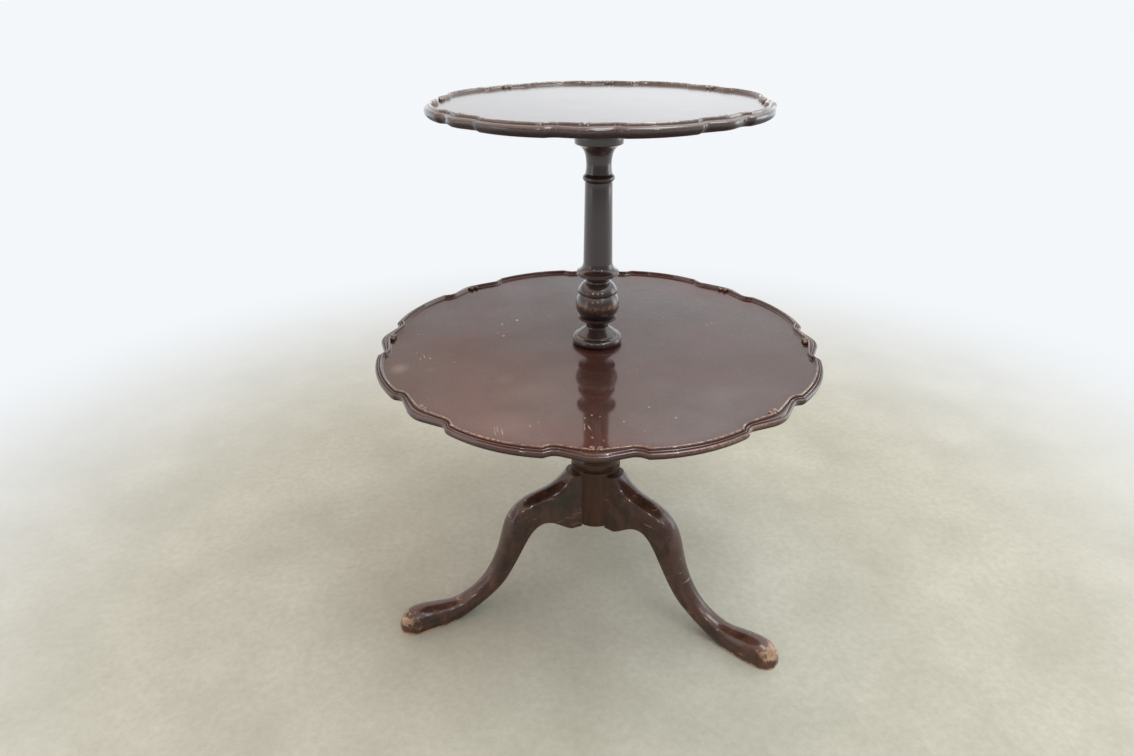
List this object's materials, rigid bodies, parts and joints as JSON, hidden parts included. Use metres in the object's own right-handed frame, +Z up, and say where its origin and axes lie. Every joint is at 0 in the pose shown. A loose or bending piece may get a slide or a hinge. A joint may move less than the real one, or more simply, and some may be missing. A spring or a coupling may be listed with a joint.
{
  "type": "tiered side table",
  "caption": "Tiered side table: small fixed tray on a turned column over a larger revolving tray, both with piecrust rims, on a tripod of cabriole legs.",
  "frame": {"origin": "on the column's axis, at the floor under the soles", "axes": "+Z up along the column; the front is -Y, the rear leg points to 75 degrees from +X"},
  "size_m": [0.6134, 0.6134, 0.744],
  "materials": {
    "tray_mahogany": "French-polished dark red-brown mahogany, worn paler on the rim",
    "turned_mahogany": "French-polished dark mahogany",
    "leg_mahogany": "French-polished dark mahogany, worn at the toes",
    "block_mahogany": "unpolished mahogany",
    "dowel_beech": "plain turned dowel",
    "washer_brass": "plain turned brass",
    "brace_iron": "dark iron plate",
    "screw_steel": "dull steel"
  },
  "bodies": {
    "stand": {"leg_rear": "leg_mahogany", "leg_left": "leg_mahogany", "leg_right": "leg_mahogany", "pillar": "turned_mahogany", "centre_stud": "dowel_beech", "thrust_washer": "washer_brass", "upper_column": "turned_mahogany", "upper_cleat": "block_mahogany", "cleat_screws": "screw_steel", "upper_tray": "tray_mahogany", "brace_plate": "brace_iron", "brace_screws": "screw_steel"},
    "lower_tier": {"lower_tray": "tray_mahogany", "bearing_block": "block_mahogany", "block_screws": "screw_steel"}
  },
  "joints": [
    {"name": "lower_tray_turns", "type": "hinge", "parent": "stand", "child": "lower_tier", "pos_m": [0, 0, 0.4], "axis": [0, 0, 1], "continuous": true}
  ]
}
